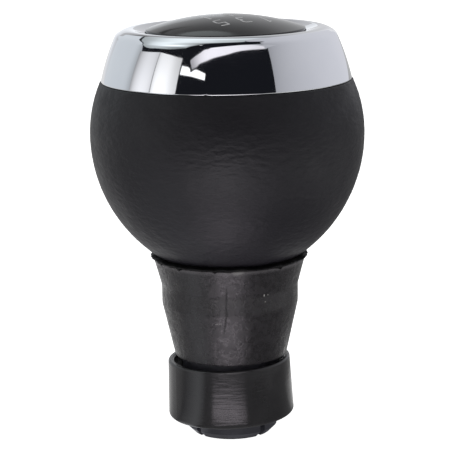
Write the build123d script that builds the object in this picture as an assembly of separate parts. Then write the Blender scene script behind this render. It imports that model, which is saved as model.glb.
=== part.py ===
from build123d import *
import os
from math import atan2, cos, degrees, hypot, radians, sin, sqrt, tan

# Car gear shift knob, in millimetres. Z runs up the lever's axis from the collet's foot.
# The driver sits on the -Y side, where the gear pattern on the cap reads upright.

# Lever collet: a blind bore whose slotted fingers grip the lever
LEVER_DIAMETER = 12.0
LEVER_CLEARANCE = 0.05
LEVER_DEPTH = 52.0
COLLET_WALL = 2.65
COLLET_SHOULDER = 0.6
COLLET_END_WALL = 3.0
COLLET_FLANGE = 3.0
COLLET_FLANGE_REACH = 2.4
COLLET_FLAT_DEPTH = 1.2
COLLET_FOOT_CHAMFER = 1.2
COLLET_MOUTH_CHAMFER = 0.5
SLOT_COUNT = 4
SLOT_WIDTH = 1.15
SLOT_HEIGHT = 12.0
SLOT_TURN = 12.0

# Spring ring on the collet's fingers, which also keeps the collar from dropping off
SPRING_WIRE = 1.4
SPRING_PROUD = 0.7
SPRING_GAP_ANGLE = 40.0
SPRING_CLEARANCE = 0.05

# Gaiter collar, a loose ring that slides on the collet, slightly askew and over to one side
COLLET_REACH = 3.3
COLLAR_HEIGHT = 11.3
COLLAR_TOP_RADIUS = 11.78
COLLAR_TAPER = 0.42
COLLAR_RIM_WALL = 1.15
COLLAR_WEB = 3.0
COLLAR_WEB_RISE = 6.15
COLLAR_EDGE = 0.4
COLLAR_FOOT_EDGE = 0.8
COLLAR_CLEARANCE = 0.05
COLLAR_SKEW = 1.7
COLLAR_SKEW_TURN = 60.0
COLLAR_SIDE_PLAY = 0.3
COLLAR_SIDE_TURN = 330.0
COLLAR_TRAVEL = 2.4
COLLAR_STOP_GAP = 0.4
GAITER_GROOVE = 0.8

# Rubber neck sleeve, stretched over the core's neck and the leather's lower hem
SLEEVE_HEIGHT = 19.3
SLEEVE_FOOT_WALL = 1.42
SLEEVE_WALL = 1.6
SLEEVE_LIP_SPREAD = 0.35
SLEEVE_LIP_WALL = 1.5
SLEEVE_BAND_RISE = 10.35
SLEEVE_BAND_HEIGHT = 3.5
SLEEVE_BAND_BLEND = 4.0
SLEEVE_FLARE_BLEND = 4.0
SLEEVE_EDGE = 0.3
SLEEVE_CLEARANCE = 0.05

# Glue bead where the sleeve's lip meets the leather
BEAD_HEIGHT = 0.85
BEAD_LAP = 0.25

# Leather bulb: a tight arc above its widest circle and a wide one below, by how far each arc's
# radius differs from the bulb's
BULB_RADIUS = 26.0
BULB_TOP_FULLNESS = -1.4
BULB_FOOT_FULLNESS = 2.3
LEATHER = 1.2
LEATHER_CLEARANCE = 0.05
LEATHER_EDGE = 0.45
LOWER_HEM = 3.5
UPPER_HEM_CLEARANCE = 0.3

# Hard core under the leather
CORE_CLEARANCE = 0.05
NECK_WALL = 2.1
NECK_END_RISE = 5.0
BOSS_INSET = 2.2

# Chromed trim ring around the cap, with an inner flange and snap hooks below it
RING_INSET = 2.15
RING_STEP = 0.15
RING_HEIGHT = 10.1
RING_WALL = 2.0
RING_BARREL = 0.25
RING_LAND = 3.35
RING_LAND_DROP = 0.94
RING_SHOULDER_REACH = 2.2
RING_SHOULDER_DROP = 1.26
RING_SHOULDER_BLEND = 1.9
RING_CREST_BLEND = 3.2
RING_EDGE = 0.25
RING_FLANGE = 2.0
RING_FLANGE_RISE = 2.5
RING_FLANGE_BORE = 6.5
HOOK_COUNT = 3
HOOK_WIDTH = 6.0
HOOK_THICKNESS = 1.6
HOOK_INSET = 0.85
HOOK_LENGTH = 8.0
HOOK_BARB = 0.7
HOOK_BARB_HEIGHT = 2.5
HOOK_CLEARANCE = 0.3

# Domed cap and the gear pattern let into it
CAP_RADIUS = 15.0
CAP_CLEARANCE = 0.15
CAP_WALL = 1.8
CAP_SKIRT = 1.1
CAP_PROUD = 2.12
CAP_DOME_RADIUS = 45.6
CAP_EDGE = 0.2
INLAY_DEPTH = 0.3
GATE_PITCH = 4.8
GATE_BAR = 5.8
NUMERAL_HEIGHT = 3.5
NUMERAL_WIDTH = 1.5
NUMERAL_GAP = 1.95
INK_WIDTH = 0.38
NUMERALS_AHEAD = "135"
NUMERALS_BEHIND = "24R"

# Each sign as pen strokes in a cell one unit wide and one unit high
PEN_STROKES = {
    "1": [[(-0.25, 0.36), (0.1, 0.5), (0.1, -0.5)]],
    "2": [[(-0.5, 0.34), (-0.3, 0.5), (0.3, 0.5), (0.5, 0.34), (0.5, 0.12), (-0.5, -0.36), (-0.5, -0.5),
           (0.5, -0.5)]],
    "3": [[(-0.5, 0.5), (0.3, 0.5), (0.5, 0.38), (0.5, 0.1), (0.2, 0.0), (0.5, -0.1), (0.5, -0.38),
           (0.3, -0.5), (-0.5, -0.5)]],
    "4": [[(0.2, 0.5), (-0.5, -0.2), (0.5, -0.2)], [(0.2, 0.5), (0.2, -0.5)]],
    "5": [[(0.5, 0.5), (-0.5, 0.5), (-0.5, 0.06), (0.3, 0.06), (0.5, -0.08), (0.5, -0.38), (0.3, -0.5),
           (-0.5, -0.5)]],
    "R": [[(-0.5, -0.5), (-0.5, 0.5), (0.3, 0.5), (0.5, 0.38), (0.5, 0.12), (0.3, 0.0), (-0.5, 0.0)],
          [(0.1, 0.0), (0.5, -0.5)]],
}

# Heights and radii that follow from the sizes above
BORE_RADIUS = LEVER_DIAMETER / 2 + LEVER_CLEARANCE
FINGER_RADIUS = BORE_RADIUS + COLLET_WALL
STEM_RADIUS = FINGER_RADIUS + COLLET_SHOULDER
NECK_BORE = STEM_RADIUS + CORE_CLEARANCE
NECK_RADIUS = NECK_BORE + NECK_WALL
HEM_RADIUS = NECK_RADIUS + LEATHER_CLEARANCE + LEATHER

COLLAR_FOOT_Z = COLLET_REACH
COLLAR_TOP_Z = COLLAR_FOOT_Z + COLLAR_HEIGHT
COLLAR_WEB_Z = COLLAR_FOOT_Z + COLLAR_WEB_RISE
COLLAR_FOOT_RADIUS = COLLAR_TOP_RADIUS + COLLAR_TAPER
COLLAR_TILT_PLAY = tan(radians(COLLAR_SKEW)) * COLLAR_WEB / 2
COLLAR_BORE = FINGER_RADIUS + COLLAR_CLEARANCE + COLLAR_TILT_PLAY + COLLAR_SIDE_PLAY
SHOULDER_Z = COLLAR_WEB_Z + COLLAR_WEB + COLLAR_STOP_GAP
SPRING_Z = COLLAR_WEB_Z - COLLAR_TRAVEL - COLLAR_STOP_GAP - SPRING_WIRE / 2
SPRING_RADIUS = FINGER_RADIUS + SPRING_PROUD - SPRING_WIRE / 2

SLEEVE_FOOT_Z = COLLAR_TOP_Z + GAITER_GROOVE
SLEEVE_LIP_Z = SLEEVE_FOOT_Z + SLEEVE_HEIGHT
SLEEVE_BORE = STEM_RADIUS + SLEEVE_CLEARANCE
SLEEVE_FOOT_RADIUS = SLEEVE_BORE + SLEEVE_FOOT_WALL
SLEEVE_BAND_RADIUS = NECK_RADIUS + SLEEVE_CLEARANCE + SLEEVE_WALL
SLEEVE_BAND_Z = SLEEVE_FOOT_Z + SLEEVE_BAND_RISE
SLEEVE_FLARE_Z = SLEEVE_BAND_Z + SLEEVE_BAND_HEIGHT
LIP_BORE = HEM_RADIUS + SLEEVE_CLEARANCE + SLEEVE_LIP_SPREAD
LIP_RADIUS = LIP_BORE + SLEEVE_LIP_WALL
LOWER_HEM_Z = SLEEVE_LIP_Z - LOWER_HEM
NECK_END_Z = SLEEVE_FOOT_Z + NECK_END_RISE
NECK_END_SHARE = NECK_END_RISE / SLEEVE_BAND_RISE
NECK_END_RADIUS = (SLEEVE_FOOT_RADIUS + NECK_END_SHARE * (SLEEVE_BAND_RADIUS - SLEEVE_FOOT_RADIUS)
                   - SLEEVE_WALL - SLEEVE_CLEARANCE)

FOOT_ARC = BULB_RADIUS + BULB_FOOT_FULLNESS
TOP_ARC = BULB_RADIUS + BULB_TOP_FULLNESS
LIP_ARC = FOOT_ARC + SLEEVE_CLEARANCE
BULB_MID_Z = SLEEVE_LIP_Z + sqrt(LIP_ARC ** 2 - (LIP_BORE + BULB_FOOT_FULLNESS) ** 2)
SEAT_RADIUS = BULB_RADIUS - RING_INSET
SEAT_Z = BULB_MID_Z + sqrt(TOP_ARC ** 2 - (SEAT_RADIUS + BULB_TOP_FULLNESS) ** 2)
CORE_SHOULDER_Z = SEAT_Z - LEATHER
CORE_INSET = LEATHER + LEATHER_CLEARANCE

RING_RADIUS = SEAT_RADIUS - RING_STEP
RING_BORE = CAP_RADIUS + CAP_CLEARANCE
CREST_RADIUS = RING_BORE + RING_LAND
CREST_Z = SEAT_Z + RING_HEIGHT
LAND_Z = CREST_Z - RING_LAND_DROP
RING_SHOULDER_RADIUS = CREST_RADIUS + RING_SHOULDER_REACH
RING_SHOULDER_Z = CREST_Z - RING_SHOULDER_DROP
CORE_TOP_Z = SEAT_Z + RING_FLANGE_RISE
FLANGE_TOP_Z = CORE_TOP_Z + RING_FLANGE
BOSS_RADIUS = RING_RADIUS - RING_WALL - BOSS_INSET
UPPER_HEM_RADIUS = BOSS_RADIUS + UPPER_HEM_CLEARANCE
HOOK_OUTER = RING_BORE + RING_WALL - HOOK_INSET
HOOK_INNER = HOOK_OUTER - HOOK_THICKNESS
HOOK_FOOT_Z = CORE_TOP_Z - HOOK_LENGTH

COLLET_FLANGE_RADIUS = STEM_RADIUS + COLLET_FLANGE_REACH
COLLET_FLANGE_Z = CORE_TOP_Z - COLLET_FLANGE
COLLET_FLAT = COLLET_FLANGE_RADIUS - COLLET_FLAT_DEPTH
CAP_APEX_Z = CREST_Z + CAP_PROUD
DOME_CENTRE_Z = CAP_APEX_Z - CAP_DOME_RADIUS


def foot_radius(height, inset=0.0):
    """Radius of the bulb below its widest circle, set in from the leather's face."""
    return sqrt((FOOT_ARC - inset) ** 2 - (BULB_MID_Z - height) ** 2) - BULB_FOOT_FULLNESS


def foot_height(radius, inset=0.0):
    """Height at which the bulb below its widest circle has this radius."""
    return BULB_MID_Z - sqrt((FOOT_ARC - inset) ** 2 - (radius + BULB_FOOT_FULLNESS) ** 2)


def top_radius(height, inset=0.0):
    """Radius of the bulb above its widest circle, set in from the leather's face."""
    return sqrt((TOP_ARC - inset) ** 2 - (height - BULB_MID_Z) ** 2) - BULB_TOP_FULLNESS


def bulb_side(radius_at_foot, height_at_top, inset=0.0):
    """The two arcs of the bulb's side, from its foot to its widest circle and on to its top."""
    widest = (BULB_RADIUS - inset, BULB_MID_Z)
    foot = (radius_at_foot, foot_height(radius_at_foot, inset))
    top = (top_radius(height_at_top, inset), height_at_top)
    return [TangentArc(widest, foot, tangent=(0, -1)), TangentArc(widest, top, tangent=(0, 1))]


def dome_height(radius, depth=0.0):
    """Height of the cap's dome, or of a ball face at this depth below it."""
    return DOME_CENTRE_Z + sqrt((CAP_DOME_RADIUS - depth) ** 2 - radius ** 2)


def dome_arc(radius, depth=0.0):
    """The dome's arc from the axis out to this radius."""
    middle = radius / 2
    return ThreePointArc((0, dome_height(0, depth)), (middle, dome_height(middle, depth)),
                         (radius, dome_height(radius, depth)))


def turned(*outline):
    """Turn a closed outline of radius and height about the lever's axis."""
    return revolve(Plane.XZ * make_face(outline), Axis.Z)


def tube(inner, outer, foot, height):
    """A plain tube on the lever's axis, solid where its inner radius is zero."""
    top = foot + height
    return turned(Polyline((inner, foot), (outer, foot), (outer, top), (inner, top), close=True))


def circle_edge(part, radius, height):
    """The round edge that lies nearest to this radius and height."""
    rounds = part.edges().filter_by(GeomType.CIRCLE)
    return min(rounds, key=lambda edge: hypot(edge.radius - radius, edge.center().Z - height))


def keyed_disc(radius, flat, foot, height):
    """A disc with two flats that keep it from turning."""
    disc = tube(0, radius, foot, height)
    return disc & Pos(0, 0, foot + height / 2) * Box(2 * flat, 2 * radius, height)


def make_lever_collet():
    """Slotted sleeve that goes over the lever, with a keyed flange at its top."""
    body = tube(0, FINGER_RADIUS, 0, SHOULDER_Z) + tube(0, STEM_RADIUS, SHOULDER_Z, CORE_TOP_Z - SHOULDER_Z)
    body += keyed_disc(COLLET_FLANGE_RADIUS, COLLET_FLAT, COLLET_FLANGE_Z, COLLET_FLANGE)
    body -= tube(0, BORE_RADIUS, 0, LEVER_DEPTH)
    body -= tube(0, BORE_RADIUS, LEVER_DEPTH + COLLET_END_WALL, CORE_TOP_Z)
    body = chamfer(circle_edge(body, FINGER_RADIUS, 0), COLLET_FOOT_CHAMFER)
    body = chamfer(circle_edge(body, BORE_RADIUS, 0), COLLET_MOUTH_CHAMFER)
    groove = Pos(SPRING_RADIUS, SPRING_Z) * Circle(SPRING_WIRE / 2 + SPRING_CLEARANCE)
    body -= revolve(Plane.XZ * groove, Axis.Z)
    slot_reach = 2 * STEM_RADIUS
    for index in range(SLOT_COUNT):
        turn = SLOT_TURN + index * 360 / SLOT_COUNT
        slot = Pos(slot_reach / 2, 0, SLOT_HEIGHT / 2) * Box(slot_reach, SLOT_WIDTH, SLOT_HEIGHT)
        body -= Rot(0, 0, turn) * slot
    return body


def make_collet_spring():
    """Open ring of round wire in the groove of the collet's fingers."""
    wire = Pos(SPRING_RADIUS, SPRING_Z) * Circle(SPRING_WIRE / 2)
    ring = revolve(Plane.XZ * wire, Axis.Z, 360 - SPRING_GAP_ANGLE)
    return Rot(0, 0, SLOT_TURN) * ring


def make_gaiter_collar():
    """Tapered ring with an inner web, tipped and moved aside by its play on the collet."""
    inner = COLLAR_TOP_RADIUS - COLLAR_RIM_WALL
    outline = Polyline(
        (inner, COLLAR_FOOT_Z), (COLLAR_FOOT_RADIUS, COLLAR_FOOT_Z), (COLLAR_TOP_RADIUS, COLLAR_TOP_Z),
        (inner, COLLAR_TOP_Z), (inner, COLLAR_WEB_Z + COLLAR_WEB), (COLLAR_BORE, COLLAR_WEB_Z + COLLAR_WEB),
        (COLLAR_BORE, COLLAR_WEB_Z), (inner, COLLAR_WEB_Z), close=True)
    ring = turned(outline)
    for radius, height, edge in (
            (COLLAR_FOOT_RADIUS, COLLAR_FOOT_Z, COLLAR_FOOT_EDGE),
            (COLLAR_TOP_RADIUS, COLLAR_TOP_Z, COLLAR_EDGE),
            (inner, COLLAR_TOP_Z, COLLAR_EDGE)):
        ring = fillet(circle_edge(ring, radius, height), edge)
    turn = radians(COLLAR_SKEW_TURN)
    tip_axis = Axis((0, 0, COLLAR_WEB_Z + COLLAR_WEB / 2), (cos(turn), sin(turn), 0))
    side = radians(COLLAR_SIDE_TURN)
    aside = Pos(COLLAR_SIDE_PLAY * cos(side), COLLAR_SIDE_PLAY * sin(side), 0)
    return aside * ring.rotate(tip_axis, COLLAR_SKEW)


def make_neck_sleeve():
    """Waisted rubber sleeve with a plain band and a flared lip over the leather's hem."""
    hem_bore = HEM_RADIUS + SLEEVE_CLEARANCE
    hem_top = (hem_bore, foot_height(hem_bore, -SLEEVE_CLEARANCE))
    lip = (LIP_BORE, SLEEVE_LIP_Z)
    inside = Polyline(
        (SLEEVE_BORE, SLEEVE_FOOT_Z), (SLEEVE_BORE, NECK_END_Z),
        (NECK_END_RADIUS + SLEEVE_CLEARANCE, NECK_END_Z), (NECK_RADIUS + SLEEVE_CLEARANCE, SLEEVE_BAND_Z),
        (NECK_RADIUS + SLEEVE_CLEARANCE, LOWER_HEM_Z), (hem_bore, LOWER_HEM_Z), hem_top)
    middle = (hem_bore + LIP_BORE) / 2
    seat = ThreePointArc(hem_top, (middle, foot_height(middle, -SLEEVE_CLEARANCE)), lip)
    outside = Polyline(
        lip, (LIP_RADIUS, SLEEVE_LIP_Z), (SLEEVE_BAND_RADIUS, SLEEVE_FLARE_Z),
        (SLEEVE_BAND_RADIUS, SLEEVE_BAND_Z), (SLEEVE_FOOT_RADIUS, SLEEVE_FOOT_Z),
        (SLEEVE_BORE, SLEEVE_FOOT_Z))
    sleeve = turned(inside, seat, outside)
    for radius, height, blend in (
            (SLEEVE_BAND_RADIUS, SLEEVE_FLARE_Z, SLEEVE_FLARE_BLEND),
            (SLEEVE_BAND_RADIUS, SLEEVE_BAND_Z, SLEEVE_BAND_BLEND),
            (SLEEVE_FOOT_RADIUS, SLEEVE_FOOT_Z, SLEEVE_EDGE),
            (LIP_RADIUS, SLEEVE_LIP_Z, SLEEVE_EDGE)):
        sleeve = fillet(circle_edge(sleeve, radius, height), blend)
    return sleeve


def make_glue_bead():
    """Round-faced bead in the corner between the sleeve's lip and the leather."""
    top_z = SLEEVE_LIP_Z + BEAD_HEIGHT
    middle_z = SLEEVE_LIP_Z + BEAD_HEIGHT / 2
    inner = (LIP_BORE, SLEEVE_LIP_Z)
    top = (foot_radius(top_z, -SLEEVE_CLEARANCE), top_z)
    face_radius = top[0] + BEAD_LAP
    face_foot = (face_radius, SLEEVE_LIP_Z)
    face_top = (face_radius, top_z)
    face = ThreePointArc(face_foot, (face_radius + BEAD_HEIGHT / 2, middle_z), face_top)
    leather_side = (foot_radius(middle_z, -SLEEVE_CLEARANCE), middle_z)
    return turned(Line(inner, face_foot), face, Line(face_top, top), ThreePointArc(top, leather_side, inner))


def make_leather_cover():
    """Leather skin of the bulb, turned down under the sleeve and in under the trim ring."""
    inner_hem = NECK_RADIUS + LEATHER_CLEARANCE
    lower_hem = Polyline(
        (inner_hem, foot_height(inner_hem, LEATHER)), (inner_hem, LOWER_HEM_Z), (HEM_RADIUS, LOWER_HEM_Z),
        (HEM_RADIUS, foot_height(HEM_RADIUS)))
    upper_hem = Polyline(
        (SEAT_RADIUS, SEAT_Z), (UPPER_HEM_RADIUS, SEAT_Z), (UPPER_HEM_RADIUS, CORE_SHOULDER_Z),
        (top_radius(CORE_SHOULDER_Z, LEATHER), CORE_SHOULDER_Z))
    face = bulb_side(HEM_RADIUS, SEAT_Z)
    back = bulb_side(inner_hem, CORE_SHOULDER_Z, LEATHER)
    cover = turned(lower_hem, *face, upper_hem, *back)
    return fillet(circle_edge(cover, SEAT_RADIUS, SEAT_Z), LEATHER_EDGE)


def hook_room(inner, outer, width, foot, top):
    """A block across the radius for each snap hook, or for the room around it."""
    block = Pos((inner + outer) / 2, 0, (foot + top) / 2) * Box(outer - inner, width, top - foot)
    return [Rot(0, 0, index * 360 / HOOK_COUNT) * block for index in range(HOOK_COUNT)]


def make_knob_core():
    """Hard core: the bulb under the leather, the neck under the sleeve and a boss for the ring."""
    outline = Polyline(
        (NECK_RADIUS, foot_height(NECK_RADIUS, CORE_INSET)), (NECK_RADIUS, SLEEVE_BAND_Z),
        (NECK_END_RADIUS, NECK_END_Z), (NECK_BORE, NECK_END_Z), (NECK_BORE, CORE_TOP_Z),
        (BOSS_RADIUS, CORE_TOP_Z), (BOSS_RADIUS, CORE_SHOULDER_Z),
        (top_radius(CORE_SHOULDER_Z, CORE_INSET), CORE_SHOULDER_Z))
    core = turned(outline, *bulb_side(NECK_RADIUS, CORE_SHOULDER_Z, CORE_INSET))
    core -= keyed_disc(COLLET_FLANGE_RADIUS + CORE_CLEARANCE, COLLET_FLAT + CORE_CLEARANCE,
                       COLLET_FLANGE_Z, COLLET_FLANGE)
    room_width = HOOK_WIDTH + 2 * HOOK_CLEARANCE
    room_foot = HOOK_FOOT_Z - HOOK_CLEARANCE
    barb_top = HOOK_FOOT_Z + HOOK_BARB_HEIGHT + HOOK_CLEARANCE
    core -= hook_room(HOOK_INNER - HOOK_BARB, HOOK_OUTER + HOOK_CLEARANCE, room_width, room_foot, CORE_TOP_Z)
    core -= hook_room(HOOK_INNER, HOOK_OUTER + HOOK_BARB + HOOK_CLEARANCE, room_width, room_foot, barb_top)
    return core


def make_trim_ring():
    """Hollow ring with a rounded crest, a recess for the cap, an inner flange and snap hooks."""
    base = (RING_RADIUS, SEAT_Z)
    shoulder = (RING_SHOULDER_RADIUS, RING_SHOULDER_Z)
    middle = ((base[0] + shoulder[0]) / 2 + RING_BARREL, (base[1] + shoulder[1]) / 2)
    hollow_top = RING_SHOULDER_Z - RING_WALL
    recess_wall = RING_BORE + RING_WALL
    side = ThreePointArc(base, middle, shoulder)
    rest = Polyline(
        shoulder, (CREST_RADIUS, CREST_Z), (RING_BORE, LAND_Z), (RING_BORE, FLANGE_TOP_Z),
        (RING_FLANGE_BORE, FLANGE_TOP_Z), (RING_FLANGE_BORE, CORE_TOP_Z), (recess_wall, CORE_TOP_Z),
        (recess_wall, hollow_top), (RING_SHOULDER_RADIUS - RING_WALL, hollow_top),
        (RING_RADIUS - RING_WALL, SEAT_Z), base)
    ring = turned(side, rest)
    ring = fillet(circle_edge(ring, RING_SHOULDER_RADIUS, RING_SHOULDER_Z), RING_SHOULDER_BLEND)
    ring = fillet(circle_edge(ring, CREST_RADIUS, CREST_Z), RING_CREST_BLEND)
    ring = fillet(circle_edge(ring, RING_RADIUS, SEAT_Z), RING_EDGE)
    ring += hook_room(HOOK_INNER, HOOK_OUTER, HOOK_WIDTH, HOOK_FOOT_Z, CORE_TOP_Z)
    barb = Polyline(
        (HOOK_OUTER, HOOK_FOOT_Z), (HOOK_OUTER + HOOK_BARB, HOOK_FOOT_Z + HOOK_BARB_HEIGHT),
        (HOOK_OUTER, HOOK_FOOT_Z + HOOK_BARB_HEIGHT), close=True)
    wedge = extrude(Plane.XZ * make_face(barb), HOOK_WIDTH / 2, both=True)
    for index in range(HOOK_COUNT):
        ring += Rot(0, 0, index * 360 / HOOK_COUNT) * wedge
    return ring


def pen_line(points):
    """A round-ended line of ink width through these points."""
    ink = Sketch()
    for (x0, y0), (x1, y1) in zip(points, points[1:]):
        turn = degrees(atan2(y1 - y0, x1 - x0))
        stroke = SlotCenterToCenter(hypot(x1 - x0, y1 - y0), INK_WIDTH)
        ink += Pos((x0 + x1) / 2, (y0 + y1) / 2) * Rot(0, 0, turn) * stroke
    return ink


def gear_pattern():
    """Plan of the gate: one bar for each pair of gears, a cross bar and the numerals."""
    half_bar = GATE_BAR / 2
    numeral_y = half_bar + NUMERAL_GAP + NUMERAL_HEIGHT / 2
    columns = [(index - 1) * GATE_PITCH for index in range(len(NUMERALS_AHEAD))]
    plan = pen_line([(columns[0], 0), (columns[-1], 0)])
    for x in columns:
        plan += pen_line([(x, -half_bar), (x, half_bar)])
    for signs, row_y in ((NUMERALS_AHEAD, numeral_y), (NUMERALS_BEHIND, -numeral_y)):
        for sign, x in zip(signs, columns):
            for stroke in PEN_STROKES[sign]:
                points = [(x + u * NUMERAL_WIDTH, row_y + v * NUMERAL_HEIGHT) for u, v in stroke]
                plan += pen_line(points)
    return plan


def make_gate_inlay():
    """The pattern as thin pale solids that lie flush in the dome."""
    skin_foot = dome_height(CAP_RADIUS, INLAY_DEPTH)
    rim = Line((CAP_RADIUS, dome_height(CAP_RADIUS)), (CAP_RADIUS, skin_foot))
    centre = Line((0, dome_height(0)), (0, dome_height(0, INLAY_DEPTH)))
    skin = turned(dome_arc(CAP_RADIUS), rim, dome_arc(CAP_RADIUS, INLAY_DEPTH), centre)
    return extrude(Pos(0, 0, skin_foot) * gear_pattern(), CAP_APEX_Z - skin_foot) & skin


def make_pattern_cap(inlay):
    """Domed cap with a skirt that stands on the ring's flange, cut out for the inlay."""
    skirt_inner = CAP_RADIUS - CAP_SKIRT
    skirt = Polyline(
        (CAP_RADIUS, dome_height(CAP_RADIUS)), (CAP_RADIUS, FLANGE_TOP_Z), (skirt_inner, FLANGE_TOP_Z),
        (skirt_inner, dome_height(skirt_inner, CAP_WALL)))
    centre = Line((0, dome_height(0, CAP_WALL)), (0, dome_height(0)))
    cap = turned(dome_arc(CAP_RADIUS), skirt, dome_arc(skirt_inner, CAP_WALL), centre)
    cap = fillet(circle_edge(cap, CAP_RADIUS, dome_height(CAP_RADIUS)), CAP_EDGE)
    return cap - inlay


def main():
    """Build every piece and write one file for each."""
    inlay = make_gate_inlay()
    pieces = {
        "lever_collet": make_lever_collet(),
        "collet_spring": make_collet_spring(),
        "gaiter_collar": make_gaiter_collar(),
        "neck_sleeve": make_neck_sleeve(),
        "glue_bead": make_glue_bead(),
        "leather_cover": make_leather_cover(),
        "knob_core": make_knob_core(),
        "trim_ring": make_trim_ring(),
        "pattern_cap": make_pattern_cap(inlay),
        "gate_inlay": inlay,
    }
    os.makedirs("parts", exist_ok=True)
    for node, shape in pieces.items():
        export_step(shape, f"parts/{node}.step")


main()
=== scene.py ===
from math import acos, asin, atan2, ceil, cos, exp, pi, radians, sin, sqrt, tan

import bmesh
import bpy
from mathutils import Euler, Matrix, Vector, noise


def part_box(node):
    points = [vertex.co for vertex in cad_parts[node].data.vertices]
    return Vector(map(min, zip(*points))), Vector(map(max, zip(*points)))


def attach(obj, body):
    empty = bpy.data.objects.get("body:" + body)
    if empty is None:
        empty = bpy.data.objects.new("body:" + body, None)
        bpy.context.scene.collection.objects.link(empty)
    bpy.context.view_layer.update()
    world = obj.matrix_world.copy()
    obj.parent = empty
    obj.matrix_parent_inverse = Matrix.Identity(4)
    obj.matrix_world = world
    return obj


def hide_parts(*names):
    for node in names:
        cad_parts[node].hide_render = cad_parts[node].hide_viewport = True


# Gear shift knob. The chrome ring, the leather, the rubber sleeve and the glue are modelled here in the
# form of their solids, and the other solids get their finishes. Sizes are in millimetres about the lever's
# axis, and meshes in metres. Angles that are written as values are in degrees, and a turn is measured from
# the side that the photograph shows, positive to its right.
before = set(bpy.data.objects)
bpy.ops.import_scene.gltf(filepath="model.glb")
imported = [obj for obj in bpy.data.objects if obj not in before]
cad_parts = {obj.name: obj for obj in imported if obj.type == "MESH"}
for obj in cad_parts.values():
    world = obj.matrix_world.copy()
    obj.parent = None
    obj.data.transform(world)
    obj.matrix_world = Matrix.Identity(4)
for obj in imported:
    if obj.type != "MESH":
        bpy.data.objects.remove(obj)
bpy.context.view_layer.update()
MM = 0.001

# Where the photograph was taken from
VIEW_HEADING = 150.0
VIEW_DISTANCE = 351.9
VIEW_HEIGHT = 113.77
VIEW_SIDE = -0.73
VIEW_PITCH = 11.765
VIEW_ROLL = -1.0
VIEW_LENS = 150.1
VIEW_SENSOR = 36.0
VIEW_NEAREST = 10.0
FRONT = radians(VIEW_HEADING - 90)
TO_CAMERA = Vector((cos(FRONT), sin(FRONT), 0))
TO_RIGHT = Vector((-sin(FRONT), cos(FRONT), 0))

# Leather bulb: an arc above and a fuller arc below its widest circle
LEATHER_LOW, LEATHER_HIGH = [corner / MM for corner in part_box("leather_cover")]
BULB_RADIUS = LEATHER_HIGH.x
SEAT_Z = LEATHER_HIGH.z
HEM_Z = LEATHER_LOW.z
LEATHER = 1.2
LEATHER_EDGE = 0.45
TOP_FULLNESS = -1.4
FOOT_FULLNESS = 2.3
SEAT_INSET = 2.15
UPPER_HEM = 4.05
HEM_RADIUS = 12.7
SEAT_GAP = 0.05
TOP_ARC = BULB_RADIUS + TOP_FULLNESS
FOOT_ARC = BULB_RADIUS + FOOT_FULLNESS
SEAT_RADIUS = BULB_RADIUS - SEAT_INSET
UPPER_HEM_RADIUS = SEAT_RADIUS - UPPER_HEM
BULB_MID_Z = SEAT_Z - sqrt(TOP_ARC ** 2 - (SEAT_RADIUS + TOP_FULLNESS) ** 2)
HEM_BORE = HEM_RADIUS - LEATHER

# Rubber neck sleeve: it widens from its foot to a band, and flares from there to its lip
SLEEVE_LOW, SLEEVE_HIGH = [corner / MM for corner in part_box("neck_sleeve")]
SLEEVE_FOOT_Z = SLEEVE_LOW.z
LIP_Z = SLEEVE_HIGH.z
SLEEVE_BORE = 9.35
SLEEVE_FOOT_WALL = 1.42
SLEEVE_EDGE = 0.3
BAND_RADIUS = 13.1
BAND_RISE = 10.35
BAND_HEIGHT = 3.5
BAND_BLEND = 4.0
LIP_SPREAD = 0.35
LIP_WALL = 1.5
NECK_END_RISE = 5.0
NECK_END_RADIUS = 10.245
SLEEVE_FOOT_RADIUS = SLEEVE_BORE + SLEEVE_FOOT_WALL
BAND_Z = SLEEVE_FOOT_Z + BAND_RISE
FLARE_Z = BAND_Z + BAND_HEIGHT
NECK_END_Z = SLEEVE_FOOT_Z + NECK_END_RISE
LIP_BORE = HEM_RADIUS + SEAT_GAP + LIP_SPREAD
LIP_RADIUS = LIP_BORE + LIP_WALL
LIP_EDGE_RADIUS = LIP_RADIUS - SLEEVE_EDGE

# Glue bead: how far it and its lumps bulge past the lip, and the share of its height that it reaches
BEAD_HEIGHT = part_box("glue_bead")[1].z / MM - LIP_Z
BEAD_BULGE = 0.5
BEAD_LUMP = 0.2
BEAD_FINE_SHARE = 0.6
BEAD_REACH = 0.75
BEAD_REACH_WAVE = 0.3
BEAD_GAP = 0.01

# Chromed trim ring: a barrelled side, a rounded shoulder and crest, a recess and a flange with three hooks
RING_STEP = 0.15
RING_HEIGHT = 10.1
RING_BARREL = 0.25
RING_WALL = 2.0
RING_BORE = 15.15
RING_EDGE = 0.25
RING_LAND = 3.35
LAND_DROP = 0.94
CREST_BLEND = 3.2
SHOULDER_REACH = 2.2
SHOULDER_DROP = 1.26
SHOULDER_BLEND = 1.9
FLANGE_RISE = 2.5
FLANGE = 2.0
FLANGE_BORE = 6.5
HOOK_FOOT_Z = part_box("trim_ring")[0].z / MM
HOOK_INNER = 14.7
HOOK_OUTER = 16.3
HOOK_WIDTH = 6.0
HOOK_BARB = 0.7
HOOK_BARB_HEIGHT = 2.5
HOOK_COUNT = 3
RING_RADIUS = SEAT_RADIUS - RING_STEP
CREST_RADIUS = RING_BORE + RING_LAND
CREST_Z = SEAT_Z + RING_HEIGHT
LAND_Z = CREST_Z - LAND_DROP
SHOULDER_RADIUS = CREST_RADIUS + SHOULDER_REACH
SHOULDER_Z = CREST_Z - SHOULDER_DROP
FLANGE_Z = SEAT_Z + FLANGE_RISE

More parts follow.
